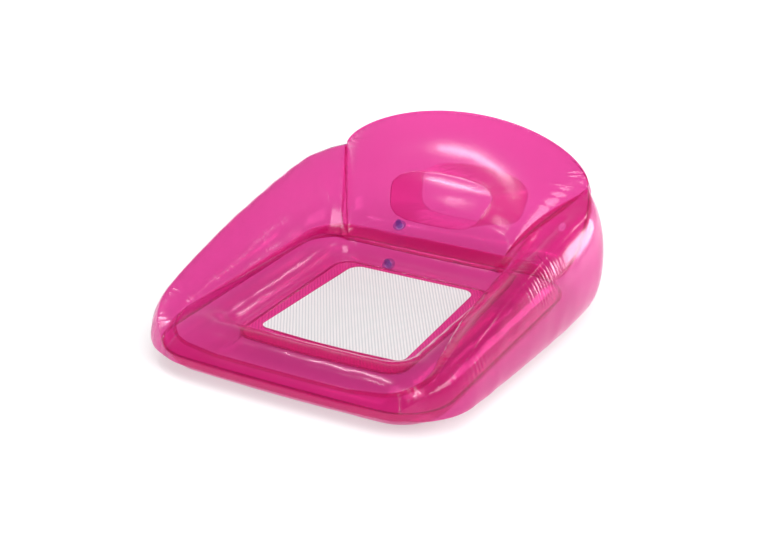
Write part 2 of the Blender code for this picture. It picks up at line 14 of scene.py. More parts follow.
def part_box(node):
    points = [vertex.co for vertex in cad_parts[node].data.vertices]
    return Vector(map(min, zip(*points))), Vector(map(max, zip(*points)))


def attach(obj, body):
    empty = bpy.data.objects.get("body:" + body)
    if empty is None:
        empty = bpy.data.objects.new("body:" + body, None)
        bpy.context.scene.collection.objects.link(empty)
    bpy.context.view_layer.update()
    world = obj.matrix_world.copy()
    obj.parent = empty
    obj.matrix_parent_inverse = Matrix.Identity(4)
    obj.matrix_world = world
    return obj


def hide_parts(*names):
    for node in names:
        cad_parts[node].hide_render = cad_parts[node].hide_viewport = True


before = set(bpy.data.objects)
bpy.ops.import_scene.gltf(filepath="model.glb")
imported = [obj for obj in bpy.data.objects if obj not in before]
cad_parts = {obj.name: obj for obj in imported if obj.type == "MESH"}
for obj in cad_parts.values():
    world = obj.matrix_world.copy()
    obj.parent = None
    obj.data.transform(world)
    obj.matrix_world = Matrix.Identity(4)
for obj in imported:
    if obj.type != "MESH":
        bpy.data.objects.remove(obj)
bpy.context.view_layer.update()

# Seat ring
# Two sheets of clear magenta PVC film, calendered 0.4 mm thick, are welded together along an outer and an
# inner flange and blown up to a square tube. The underside stands flat on the floor.

FILM = 0.0004
WELD_GAP = 0.0003
WELD_WIDTH = 0.008
SEAM_START = 0.001
MESH_THICKNESS = 0.0005
OUTER_STACK = FILM + WELD_GAP / 2
INNER_STACK = 2 * FILM + MESH_THICKNESS / 2 + 2 * WELD_GAP

RING_WIDTH = 0.752
RING_DEPTH = 0.809
SIDE_TUBE = 0.1475
FRONT_TUBE = 0.144
BACK_TUBE = 0.1445
SEAM_HEIGHT = 0.0625
TUBE_RISE = 0.0665
FRONT_CORNER = 0.115
FRONT_BOW = 0.008
BACK_CORNER = 0.12
WELL_CORNER = 0.05
SIDE_ANGLE = 64
FLAT_ANGLE = 10
SETBACK = RING_DEPTH / 2 + SEAM_START + WELD_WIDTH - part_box("seat_ring_top_sheet")[1].y

BACK_RUN, BACK_TURN, SIDE_TURN, SIDE_RUN, FRONT_TURN, FRONT_RUN = 4, 2, 3, 7, 4, 3
JUNCTION = BACK_RUN + BACK_TURN
SIDE_START = JUNCTION + SIDE_TURN
SIDE_END = SIDE_START + SIDE_RUN
FRONT_START = SIDE_END + FRONT_TURN
FRONT_MIDDLE = FRONT_START + FRONT_RUN
NOSE = FRONT_START - 1


def mix(a, b, share):
    return a + (b - a) * share


def outline(half_width, front, back, front_radius, back_radius, station):
    """A point of a rounded rectangle and its outward direction, at a station."""
    s = abs(station)
    if s <= BACK_RUN:
        point = np.array([mix(0, half_width - back_radius, s / BACK_RUN), back])
        out = np.array([0.0, 1.0])
    elif s <= SIDE_START:
        if s <= JUNCTION:
            angle = mix(90, SIDE_ANGLE, (s - BACK_RUN) / BACK_TURN)
        else:
            angle = mix(SIDE_ANGLE, 0, (s - JUNCTION) / SIDE_TURN)
        out = np.array([math.cos(math.radians(angle)), math.sin(math.radians(angle))])
        point = np.array([half_width - back_radius, back - back_radius]) + back_radius * out
    elif s <= SIDE_END:
        share = (s - SIDE_START) / SIDE_RUN
        point = np.array([half_width, mix(back - back_radius, front + front_radius, share)])
        out = np.array([1.0, 0.0])
    elif s <= FRONT_START:
        angle = math.radians(mix(0, -90, (s - SIDE_END) / FRONT_TURN))
        out = np.array([math.cos(angle), math.sin(angle)])
        point = np.array([half_width - front_radius, front + front_radius]) + front_radius * out
    else:
        share = (s - FRONT_START) / FRONT_RUN
        point = np.array([mix(half_width - front_radius, 0, share), front])
        out = np.array([0.0, -1.0])
    if point[1] < front + front_radius:
        point[1] -= FRONT_BOW * (1 - (point[0] / half_width) ** 2) ** 1.5
    flip = np.array([-1 if station < 0 else 1, 1])
    return point * flip, out * flip


def outer_seam(station):
    half_depth = RING_DEPTH / 2
    return outline(RING_WIDTH / 2, -half_depth, half_depth, FRONT_CORNER, BACK_CORNER, station)


def well_edge(station, inset=0, radius=WELL_CORNER):
    """The ring's inner weld line, or the line at a distance inside it."""
    half_depth = RING_DEPTH / 2
    half_width = RING_WIDTH / 2 - SIDE_TUBE - inset
    return outline(
        half_width, FRONT_TUBE - half_depth + inset, half_depth - BACK_TUBE - inset, radius, radius, station
    )


def ring_points(station, angles, lift=0):
    """Points round the ring's tube at a station: its outer seam at 0 degrees, top at 90, inner weld at 180."""
    outer = outer_seam(station)[0]
    inner = well_edge(station)[0]
    middle = (inner + outer) / 2
    half = np.linalg.norm(outer - inner) / 2
    across = (outer - inner) / (2 * half)
    turn = np.radians(np.asarray(angles, float))
    rise = np.where(turn >= 0, TUBE_RISE, SEAM_HEIGHT / math.cos(math.radians(FLAT_ANGLE)))
    normal = np.stack([np.cos(turn) / half, np.sin(turn) / rise], 1)
    normal /= np.linalg.norm(normal, axis=1)[:, None]
    flat = middle + across * (half * np.cos(turn) + lift * normal[:, 0])[:, None]
    height = SEAM_HEIGHT + rise * np.sin(turn) + lift * normal[:, 1]
    return np.column_stack([flat, np.maximum(height, 0)])


def flange_point(line, station, reach, height):
    point, out = line(station)
    return np.array([*(point + out * reach), height])


def lengths(points):
    """How far each point of a line lies along it."""
    return np.concatenate([[0], np.cumsum(np.linalg.norm(np.diff(points, axis=0), axis=1))])


def reaches(grid):
    """How far each point of a sheet's grid lies along its section."""
    return np.array([lengths(section) for section in grid])


def fine(first, last, spacing):
    """Stations from first to last whose points on the outer seam lie about a spacing apart."""
    coarse = np.linspace(first, last, 40 * round(abs(last - first)) + 1)
    points = np.array([outer_seam(station)[0] for station in coarse])
    run = lengths(points)
    count = max(2, round(run[-1] / spacing))
    return np.interp(np.linspace(0, run[-1], count + 1), run, coarse)


def ramp(distance, breadth):
    """0 up to a line, and 1 from a breadth beyond it."""
    return np.clip(distance / breadth, 0, 1)


def near(distance, breadth):
    """1 on a line, and fading to both sides of it."""
    return np.exp(-((distance / breadth) ** 2))


PLEAT_SPACINGS = (0.45, 1.7)
PLEAT_HEIGHTS = (0.25, 1.0)
PLEAT_LENGTHS = (0.4, 1.6)
PLEAT_ROUNDING = 0.8
PLEAT_LEVEL = 0.55
PLEAT_FADING = 1.4


def gathers(along, reach, pleats, seed):
    """How far film stands proud beside a weld where it is gathered: rounded pleats with creases between them.

    along is each column's place on the weld, reach each point's distance from it, and pleats their mean
    spacing, depth and length."""
    spacing, depth, length = pleats
    dice = np.random.default_rng(seed)
    end = along.max() + 2 * spacing
    creases = [-spacing]
    while creases[-1] < end:
        creases.append(creases[-1] + spacing * dice.uniform(*PLEAT_SPACINGS))
    creases = np.array(creases)
    heights = dice.uniform(*PLEAT_HEIGHTS, len(creases))
    runs = length * dice.uniform(*PLEAT_LENGTHS, len(creases))
    place = np.broadcast_to(along[:, None], reach.shape)
    pleat = np.clip(np.searchsorted(creases, place) - 1, 0, len(creases) - 2)
    share = np.clip((place - creases[pleat]) / (creases[pleat + 1] - creases[pleat]), 0, 1)
    bulge = np.sin(math.pi * share) ** PLEAT_ROUNDING - PLEAT_LEVEL
    fade = np.exp(-((reach / mix(runs[pleat], runs[pleat + 1], share)) ** PLEAT_FADING))
    return depth * mix(heights[pleat], heights[pleat + 1], share) * bulge * fade


SWELL_WAVES = 7
SWELL_LENGTHS = (0.6, 1.8)
SWELL_PEAK = 4


def swells(u, v, waves, seed):
    """Slow uneven swells of blown-up film, from a few crossed waves. waves is their depth and mean length."""
    depth, length = waves
    dice = np.random.default_rng(seed)
    total = np.zeros(np.broadcast(u, v).shape)
    for _ in range(SWELL_WAVES):
        turn = dice.uniform(0, math.pi)
        wave = length * dice.uniform(*SWELL_LENGTHS)
        total += np.sin((u * math.cos(turn) + v * math.sin(turn)) * 2 * math.pi / wave + dice.uniform(0, 6.3))
    return depth * total / SWELL_PEAK


def grid_normals(grid, closed=False):
    """The outward normal at each point of a sheet's grid, whose outside is on the left of each section."""
    if closed:
        along = np.roll(grid, -1, 0) - np.roll(grid, 1, 0)
    else:
        along = np.gradient(grid, axis=0)
    across = np.gradient(grid, axis=1)
    normals = np.cross(along, across)
    return normals / np.maximum(np.linalg.norm(normals, axis=2), 1e-12)[:, :, None]


def film_sheet(name, grid, finish, closed=False, thickness=FILM, offset=-1.0, cut=None):
    """A sheet as a smooth shell, from sections that run so that its outside is on their left.

    cut marks the points of the grid between which it is left open."""
    columns, rows = grid.shape[:2]
    first = np.arange(columns if closed else columns - 1)
    a = (first[:, None] * rows + np.arange(rows - 1)).ravel()
    b = ((first[:, None] + 1) % columns * rows + np.arange(rows - 1)).ravel()
    faces = np.stack([a, b, b + 1, a + 1], 1)
    points = grid.reshape(-1, 3)
    if cut is not None:
        faces = faces[~cut.ravel()[faces].all(1)]
        used, faces = np.unique(faces, return_inverse=True)
        points, faces = points[used], faces.reshape(-1, 4)
    return shell(name, points, faces.tolist(), finish, thickness, offset)


# A hole goes under each valve's flange, wide enough for its sleeve. The axes are those of the valves' joints.
VALVE_AXES = {"ring_valve": (0.0, 0.6203, -0.7843), "backrest_valve": (-0.0497, 0.5023, -0.8633)}
VALVE_HOLE = 0.0115
VALVE_REACH = 0.03


def open_at_valve(points, valve):
    """Parts a sheet's points round a valve's sleeve, and marks those that now lie on the hole's edge."""
    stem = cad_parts[f"{valve}_stem"]
    middle = np.mean([stem.matrix_world @ corner.co for corner in stem.data.vertices], axis=0)
    axis = np.array(VALVE_AXES[valve])
    from_middle = points - middle - np.array([0, SETBACK, 0])
    along = from_middle @ axis
    from_axis = from_middle - along[..., None] * axis
    reach = np.maximum(np.linalg.norm(from_axis, axis=-1), 1e-6)
    hole = (reach < VALVE_HOLE) & (np.abs(along) < VALVE_REACH)
    outward = from_axis * (VALVE_HOLE / reach - 1)[..., None]
    return points + outward * hole[..., None], hole


def faces_to_middle(columns, rows):
    """Faces between closed sections and the one point in which all of them end, which comes last."""
    faces = []
    for i in range(columns):
        following = (i + 1) % columns
        for j in range(rows - 1):
            faces.append((i * rows + j, following * rows + j, following * rows + j + 1, i * rows + j + 1))
        faces.append((i * rows + rows - 1, following * rows + rows - 1, columns * rows))
    return faces


def shell(name, points, faces, finish, thickness=FILM, offset=-1.0):
    """A sheet from points that are measured from the ring's middle, carried to the frame's origin."""
    mesh = bpy.data.meshes.new(name)
    mesh.from_pydata((points - np.array([0, SETBACK, 0])).tolist(), [], faces)
    mesh.shade_smooth()
    mesh.materials.append(finish)
    made = bpy.data.objects.new(name, mesh)
    bpy.context.scene.collection.objects.link(made)
    film = made.modifiers.new("Film", "SOLIDIFY")
    film.thickness = thickness
    film.offset = offset
    return made


def linear(colour):
    """An sRGB hex colour as the linear values that a shader takes."""
    values = [int(colour[i : i + 2], 16) / 255 for i in (0, 2, 4)]
    return (*[v / 12.92 if v <= 0.04045 else ((v + 0.055) / 1.055) ** 2.4 for v in values], 1)


def add(tree, kind, settings=None, sockets=None):
    """Adds a node with its settings, and sets or links its input sockets, by name or number."""
    node = tree.nodes.new(kind)
    for name, value in (settings or {}).items():
        setattr(node, name, value)
    for name, value in (sockets or {}).items():
        if isinstance(value, bpy.types.NodeSocket):
            tree.links.new(value, node.inputs[name])
        else:
            node.inputs[name].default_value = value
    return node.outputs


def finish_named(name):
    """A new material and its empty node tree."""
    made = bpy.data.materials.new(name)
    made.use_nodes = True
    made.node_tree.nodes.clear()
    return made, made.node_tree


BODY_SHARE = 0.065
MIRROR_IOR = 1.37


def vinyl_film(name, dye, lamp_loss):
    """Clear calendered PVC film. The dye tints light at each face that it crosses, so that layers behind each
    other deepen, and the polished faces mirror the lamps, a little uneven from the calender's rolls. A lamp's
    rays lose their share at each face without a tint, so that the shadow on the floor stays grey. Seen from
    inside, a face mirrors by the inverse of its IOR. Both start from PVC's 1.53, and the mirror's is matched
    to the photograph, which is weaker.
    """
    film, tree = finish_named(name)
    place = add(tree, "ShaderNodeTexCoord")["Object"]
    rolled = add(
        tree,
        "ShaderNodeTexNoise",
        sockets={"Vector": place, "Scale": 26.0, "Detail": 2.0, "Roughness": 0.45},
    )
    relief = add(
        tree, "ShaderNodeBump", sockets={"Strength": 0.17, "Distance": 0.0012, "Height": rolled["Fac"]}
    )["Normal"]
    clear = add(tree, "ShaderNodeBsdfTransparent", sockets={"Color": linear(dye)})["BSDF"]
    body = add(
        tree,
        "ShaderNodeBsdfPrincipled",
        sockets={
            "Base Color": linear("E4109E"),
            "Roughness": 0.35,
            "IOR": 1.53,
            "Specular IOR Level": 0.2,
            "Normal": relief,
        },
    )["BSDF"]
    bulk = add(tree, "ShaderNodeMixShader", sockets={0: BODY_SHARE, 1: clear, 2: body})["Shader"]
    mirror = add(
        tree,
        "ShaderNodeBsdfAnisotropic",
        sockets={"Color": (1, 1, 1, 1), "Roughness": 0.17, "Normal": relief},
    )["BSDF"]
    inside = add(tree, "ShaderNodeNewGeometry")["Backfacing"]
    bend = add(
        tree, "ShaderNodeMapRange", sockets={"Value": inside, "To Min": MIRROR_IOR, "To Max": 1 / MIRROR_IOR}
    )["Result"]
    edge = add(tree, "ShaderNodeFresnel", sockets={"IOR": bend, "Normal": relief})["Fac"]
    seen = add(tree, "ShaderNodeMixShader", sockets={0: edge, 1: bulk, 2: mirror})["Shader"]
    shade = add(tree, "ShaderNodeBsdfTransparent", sockets={"Color": linear(lamp_loss)})["BSDF"]
    rays = add(tree, "ShaderNodeLightPath")
    surface = add(
        tree, "ShaderNodeMixShader", sockets={0: rays["Is Shadow Ray"], 1: seen, 2: shade}
    )["Shader"]
    add(tree, "ShaderNodeOutputMaterial", sockets={"Surface": surface})
    return film


clear_film = vinyl_film("clear_magenta_pvc_film", "FCC3E7", "DADADA")

RING_SPACING = 0.004
TUBE_STEPS = 44
RING_PLEATS = (0.017, 0.0036, 0.022)
RING_SWELLS = (0.0005, 0.09)
STRAIGHT_SHARE = 0.45
CORNER_BLEND = 12
RING_FREE = 0.006
FLOOR_CLEARANCE = 0.02

half_ring = fine(0, FRONT_MIDDLE, RING_SPACING)
ring_stations = np.concatenate([-half_ring[-2:0:-1], half_ring])
seam_run = lengths(np.array([outer_seam(station)[0] for station in ring_stations]))

top_angles = np.linspace(178, 2, TUBE_STEPS)
top_grid = np.array(
    [
        np.vstack(
            [
                flange_point(well_edge, s, -SEAM_START - WELD_WIDTH, SEAM_HEIGHT + INNER_STACK),
                flange_point(well_edge, s, -SEAM_START, SEAM_HEIGHT + INNER_STACK),
                ring_points(s, top_angles),
                flange_point(outer_seam, s, SEAM_START, SEAM_HEIGHT + OUTER_STACK),
                flange_point(outer_seam, s, SEAM_START + WELD_WIDTH, SEAM_HEIGHT + OUTER_STACK),
            ]
        )
        for s in ring_stations
    ]
)
bottom_angles = np.linspace(-2, -178, TUBE_STEPS)
bottom_grid = np.array(
    [
        np.vstack(
            [
                flange_point(outer_seam, s, SEAM_START + WELD_WIDTH, SEAM_HEIGHT - OUTER_STACK),
                flange_point(outer_seam, s, SEAM_START, SEAM_HEIGHT - OUTER_STACK),
                ring_points(s, bottom_angles),
                flange_point(well_edge, s, -SEAM_START, SEAM_HEIGHT - INNER_STACK),
                flange_point(well_edge, s, -SEAM_START - WELD_WIDTH, SEAM_HEIGHT - INNER_STACK),
            ]
        )
        for s in ring_stations
    ]
)


def wrinkled_ring(grid, seed, floor=False):
    """The tube's film with short gathers along both welds, deepest where the tube turns its corners."""
    from_first = reaches(grid)
    from_last = from_first[:, -1:] - from_first
    free = ramp(np.minimum(from_first, from_last) - SEAM_START - WELD_WIDTH, RING_FREE)
    corners = [BACK_RUN < abs(s) < SIDE_START or abs(s) > SIDE_END - 1 for s in ring_stations]
    turning = np.pad(np.where(corners, 1.0, STRAIGHT_SHARE), CORNER_BLEND, mode="wrap")
    window = 2 * CORNER_BLEND + 1
    turning = np.convolve(turning, np.ones(window) / window, "valid")[:, None]
    proud = gathers(seam_run, from_first, RING_PLEATS, seed) * turning
    proud += gathers(seam_run, from_last, RING_PLEATS, seed + 1) * turning
    proud += swells(seam_run[:, None], from_first, RING_SWELLS, seed + 2)
    if floor:
        proud *= ramp(grid[:, :, 2], FLOOR_CLEARANCE)
    return grid + grid_normals(grid, True) * (proud * free)[:, :, None]


ring_top = film_sheet("ring_top_film", wrinkled_ring(top_grid, 11), clear_film, True)
bottom_film, valve_hole = open_at_valve(wrinkled_ring(bottom_grid, 21, True), "ring_valve")
ring_bottom = film_sheet("ring_bottom_film", bottom_film, clear_film, True, cut=valve_hole)
for piece, node in ((ring_top, "seat_ring_top_sheet"), (ring_bottom, "seat_ring_bottom_sheet")):
    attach(piece, "chair")
    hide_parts(node)

# Seat mesh
# White polyester netting drains the seat. Its edge is welded between two frames of the same magenta film,
# whose outer edges are caught in the ring's inner flange.

WINDOW_HALF_WIDTH = 0.197
WINDOW_TAPER = 0.9
WINDOW_FRONT = -0.189
WINDOW_BACK = 0.238
WINDOW_CORNERS = (0.022, 0.034)
BORDER_STEPS = 7


def window_edge(station):
    """The opening in the border, a little narrower at the back."""
    point = outline(WINDOW_HALF_WIDTH, WINDOW_FRONT, WINDOW_BACK, *WINDOW_CORNERS, station)[0]
    share = (point[1] - WINDOW_FRONT) / (WINDOW_BACK - WINDOW_FRONT)
    return point * [mix(1, WINDOW_TAPER, share), 1]


def border_grid(height, facing_up):
    """A flat frame from the window's edge to the ring's inner flange."""
    sections = []
    for s in ring_stations:
        outside = flange_point(well_edge, s, -2 * WELD_GAP, height)
        weld = flange_point(well_edge, s, -SEAM_START - WELD_WIDTH, height)
        window = np.array([*window_edge(s), height])
        rows = [mix(window, weld, share) for share in np.linspace(0, 1, BORDER_STEPS)] + [outside]
        sections.append(rows if facing_up else rows[::-1])
    return np.array(sections)


upper_height = SEAM_HEIGHT + INNER_STACK - FILM - WELD_GAP
lower_height = SEAM_HEIGHT - INNER_STACK + FILM + WELD_GAP
# The border's film is the same PVC. The white netting behind it sends light through it twice, but the lamps'
# rays cross it untinted, so its dye is deepened to paint in the tint of that light's way in.
border_film_painted_tint = vinyl_film("magenta_pvc_film_with_painted_light_tint", "FF98D6", "F6F6F6")
border_upper = film_sheet("mesh_border_upper_film", border_grid(upper_height, True), border_film_painted_tint, True)
border_lower = film_sheet("mesh_border_lower_film", border_grid(lower_height, False), border_film_painted_tint, True)
for piece, node in ((border_upper, "mesh_border_upper"), (border_lower, "mesh_border_lower")):
    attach(piece, "chair")
    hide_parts(node)

# Knitted polyester netting, white and matt. The real ribs are 2 mm apart, too fine to show, so they are
# drawn 7.5 mm apart, with rungs between them every 3.4 mm. They run aslant, and the repeats are measured
# along the chair's axes.
RIB_LEAN = 0.61
RIB_REPEAT = 0.0088
RUNG_REPEAT = 0.004
RUNG_SHARE = 0.2
NETTING_RINGS = 40
NETTING_SAG = 0.003
SAG_START = 0.18

netting, tree = finish_named("white_polyester_netting")
place = add(tree, "ShaderNodeTexCoord")["Object"]
spread = add(tree, "ShaderNodeSeparateXYZ", sockets={"Vector": place})
lean = add(
    tree, "ShaderNodeMath", {"operation": "MULTIPLY_ADD"}, {0: spread["Y"], 1: RIB_LEAN, 2: spread["X"]}
)[0]
ribs = add(tree, "ShaderNodeMath", {"operation": "MULTIPLY"}, {0: lean, 1: 2 * math.pi / RIB_REPEAT})["Value"]
ribs = add(tree, "ShaderNodeMath", {"operation": "SINE"}, {0: ribs})["Value"]
climb = add(
    tree, "ShaderNodeMath", {"operation": "MULTIPLY_ADD"}, {0: spread["X"], 1: -RIB_LEAN, 2: spread["Y"]}
)[0]
rungs = add(
    tree, "ShaderNodeMath", {"operation": "MULTIPLY"}, {0: climb, 1: 2 * math.pi / RUNG_REPEAT}
)["Value"]
rungs = add(tree, "ShaderNodeMath", {"operation": "SINE"}, {0: rungs})["Value"]
knit = add(tree, "ShaderNodeMath", {"operation": "MULTIPLY_ADD"}, {0: rungs, 1: RUNG_SHARE, 2: ribs})["Value"]
shade = add(
    tree,
    "ShaderNodeMapRange",
    sockets={"Value": knit, "From Min": -0.9, "From Max": 0.7, "To Min": 0.0, "To Max": 1.0},
)["Result"]
# The ribs are white and the grey between them is painted shade in the knit's hollows; the white yarn has no
# grey of its own.
yarn_white_and_painted_shade = add(
    tree, "ShaderNodeMix", {"data_type": "RGBA"}, {0: shade, 6: linear("DEDFE1"), 7: linear("FCFCFB")}
)[2]
relief = add(tree, "ShaderNodeBump", sockets={"Strength": 0.5, "Distance": 0.0006, "Height": knit})["Normal"]
thread = add(
    tree,
    "ShaderNodeBsdfPrincipled",
    sockets={"Base Color": yarn_white_and_painted_shade, "Roughness": 0.8, "Specular IOR Level": 0.2, "Normal": relief},
)["BSDF"]
add(tree, "ShaderNodeOutputMaterial", sockets={"Surface": thread})

edge_line = np.array([flange_point(well_edge, s, -SEAM_START, SEAM_HEIGHT) for s in ring_stations[::3]])
middle = edge_line.mean(0)
rings = [mix(middle, edge_line, share) for share in np.linspace(1, 0, NETTING_RINGS)[:-1]]
mesh_grid = np.array(rings).transpose(1, 0, 2)
columns, rows = mesh_grid.shape[:2]
mesh_grid[:, :, 2] -= NETTING_SAG * ramp(np.linspace(0, 1, rows) - SAG_START, 1 - SAG_START) ** 0.5
points = np.vstack([mesh_grid.reshape(-1, 3), middle - [0, 0, NETTING_SAG]])
seat_mesh = shell("seat_netting", points, faces_to_middle(columns, rows), netting, MESH_THICKNESS, 0)
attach(seat_mesh, "chair")
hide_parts("seat_mesh_panel")

# Chamber: front band and arms
# A horseshoe of film is welded to the outside of the ring: a low band across the front, and an arm on each
# side. Each arm is one wrapped sheet, from its weld on the ring's top, over the arm, to its weld under the
# outer flange.

CHAIR_HEIGHT = 0.412
RIDGE_FIN = 0.005
CREST_SETBACK = 0.588
SHOULDER_HALF_WIDTH = 0.359
SHOULDER_HEIGHT = 0.29
SHOULDER_SETBACK = 0.5165
ARM_HEIGHT = 0.284
CREST_ROUNDING = 1.25
ARM_SPREAD = 0.021
ARM_LEAN = 0.03
NOSE_SPREAD = 0.016
NOSE_HEIGHT = 0.07
BAND_BULGE = 0.014
WELD_HALF_ANGLE = 3.5
WELD_STATIONS = (0, JUNCTION, SIDE_START + 1, SIDE_END - 2, NOSE, FRONT_START + 1)
WELD_ANGLES = (132, 130, 96, 84, 34, 20)
CREASE_LIFT = 0.0003
BACK_FRONT_HANDLES = ((-0.04, 0.11), (0.11, -0.05))
BACK_REAR_HANDLES = ((-0.19, -0.05), (-0.075, -0.03))
ARM_INNER_HANDLES = ((0.05, 0.012), (0.075, 0.0))
SHOULDER_FULLNESS = 0.1
SHOULDER_PART = 0.35
ARM_OUTER_HANDLES = ((-0.155, -0.1), (-0.07, -0.01))
NOSE_INNER_HANDLES = ((0.0, 0.006), (0.01, 0.006))
NOSE_OUTER_HANDLES = ((-0.004, -0.026), (0.0, -0.02))
CREASE_HANDLES = ((0.02, 0.06), (0.05, -0.06))
ARM_SWELL = 1.8
REAR_ARM_SWELL = 5.0
REAR_SWELL = 0.5


def upper_weld(station, row=0):
    """The weld strip on the ring: row 0 is where the chamber's sheet leaves it, row 1 its other edge."""
    angle = np.interp(abs(station), WELD_STATIONS, WELD_ANGLES) + WELD_HALF_ANGLE * (1 - 2 * row)
    return ring_points(station, [angle], WELD_GAP + CREASE_LIFT)[0]


def lower_weld(station, row=0):
    """The weld strip under the ring's outer flange: row 0 is the flange's outer edge, row 1 its inner one."""
    reach = SEAM_START + WELD_WIDTH * (1 - row)
    return flange_point(outer_seam, station, reach, SEAM_HEIGHT - OUTER_STACK - WELD_GAP - FILM)


def ridge(station):
    """The backrest's top edge, where its two sheets are welded together, and the top line of the arms."""
    s = abs(station)
    side = -1 if station < 0 else 1
    if s <= JUNCTION:
        turn = math.radians(90) * s / JUNCTION
        share = max(0, math.cos(turn)) ** CREST_ROUNDING
        return np.array(
            [
                side * SHOULDER_HALF_WIDTH * math.sin(turn),
                mix(SHOULDER_SETBACK, CREST_SETBACK, share),
                mix(SHOULDER_HEIGHT, CHAIR_HEIGHT - RIDGE_FIN, share),
            ]
        )
    seam, out = outer_seam(s)
    if s > NOSE:
        share = min(1, (s - NOSE) / (FRONT_START + 1 - NOSE))
        point = seam + out * mix(NOSE_SPREAD, BAND_BULGE, share)
        return np.array([side * point[0], point[1], mix(NOSE_HEIGHT, SEAM_HEIGHT, share)])
    share = (s - JUNCTION) / (NOSE - JUNCTION)
    start = np.array([SHOULDER_HALF_WIDTH, SHOULDER_SETBACK]) - outer_seam(JUNCTION)[0]
    settle = (1 - share) ** 4
    spread = mix(ARM_SPREAD, NOSE_SPREAD, share**6)
    lean = mix(ARM_LEAN, 0, share**3)
    point = seam + mix(out * spread + np.array([0, lean]), start, settle)
    nose_seam, nose_out = outer_seam(NOSE)
    nose_y = nose_seam[1] + nose_out[1] * NOSE_SPREAD
    along = (SHOULDER_SETBACK - point[1]) / (SHOULDER_SETBACK - nose_y)
    top = mix(ARM_HEIGHT, SHOULDER_HEIGHT, settle)
    height = mix(NOSE_HEIGHT, top, max(0, 1 - along**1.67) ** 0.63) if along > 0 else top
    return np.array([side * point[0], point[1], height])


def puff(station, front):
    """How far a sheet swells: little on a junction, full in the middle of a panel."""
    s = abs(station)
    least = 0 if front else REAR_SWELL
    if s <= JUNCTION:
        return mix(least, 1, max(0, 1 - (s / JUNCTION) ** 6) ** 0.5)
    share = min(1, (s - JUNCTION) / (ARM_SWELL if front else REAR_ARM_SWELL))
    return mix(least, 1, (1 - (1 - share) ** 2.5) ** (0.5 if front else 0.9))


def blended_handles(station, front):
    """How far a section's two handles reach inwards and upwards from its ends."""
    s = abs(station)
    if s <= JUNCTION:
        return BACK_FRONT_HANDLES if front else BACK_REAR_HANDLES
    share = min(1, (s - JUNCTION) / (NOSE - JUNCTION))
    arm = ARM_INNER_HANDLES if front else ARM_OUTER_HANDLES
    nose = NOSE_INNER_HANDLES if front else NOSE_OUTER_HANDLES
    if front:
        (low, (reach, rise)) = arm
        arm = (low, (reach + SHOULDER_FULLNESS * max(0, 1 - share / SHOULDER_PART), rise))
    return [[mix(a, n, share**2.2) for a, n in zip(*pair)] for pair in zip(arm, nose)]


def chamber_line(station, shares, front):
    """Points of the chamber's front or rear sheet at a station: share 0 is at the ring, 1 at the ridge."""
    low = upper_weld(station) if front else lower_weld(station)
    high = ridge(station)
    out = outer_seam(station)[1]
    low_handle, high_handle = [np.array([*(-out * i), u]) for i, u in blended_handles(station, front)]
    start, end = (high - low) / 3, (low - high) / 3
    if front:
        start, end = [np.array([*(-out * i), u]) for i, u in CREASE_HANDLES]
    swell = puff(station, front)
    a = low + mix(start, low_handle, swell)
    b = high + mix(end, high_handle, swell)
    t = np.asarray(shares, float)[:, None]
    return (1 - t) ** 3 * low + 3 * (1 - t) ** 2 * t * a + 3 * (1 - t) * t**2 * b + t**3 * high


def wrapped_grid(stations, shares):
    """Sections of a wrapped sheet, from its weld on the ring over the top to its weld under the flange."""
    sections = []
    for s in stations:
        inner = chamber_line(s, shares, True)
        outer = chamber_line(s, shares, False)[-2::-1]
        sections.append(np.vstack([upper_weld(s, 1), inner, outer, lower_weld(s, 1)]))
    return np.array(sections)


# Each set of pleats is its mean spacing, depth and length. Places and parts along the arm are shares of it.
CHAMBER_SPACING = 0.0035
ARM_STEPS = 46
SHOULDER_STEPS = 14
WALL_PLEATS = (0.024, 0.002, 0.03)
RING_WELD_PLEATS = (0.014, 0.0034, 0.022)
FLANGE_PLEATS = (0.012, 0.0036, 0.05)
WAIST_PLEATS = (0.011, 0.004, 0.04)
BELLY_PLEATS = (0.0125, 0.006, 0.015)
ARM_SWELLS = (0.0006, 0.14)
ARM_FREE = 0.012
RIDGE_BREADTH = 0.05
SHOULDER_BREADTH = 0.16
FLANGE_SHARE = 0.35
WAIST_PLACE = 0.45
WAIST_BREADTH = 0.07
WAIST_DROP = 0.03
RIGHT_WAIST_SHARE = 0.3
NOSE_PART = 0.72
BELLY_PART = (0.38, 0.9)
BELLY_END = 0.06
PART_BLEND = 0.08
BELLY_HEIGHT = 0.168
BELLY_FALL = 0.167
BAND_STEPS = 12
BAND_WELD_PLEATS = (0.013, 0.0036, 0.012)
BAND_FLANGE_PLEATS = (0.017, 0.0036, 0.014)
BAND_FREE = 0.01

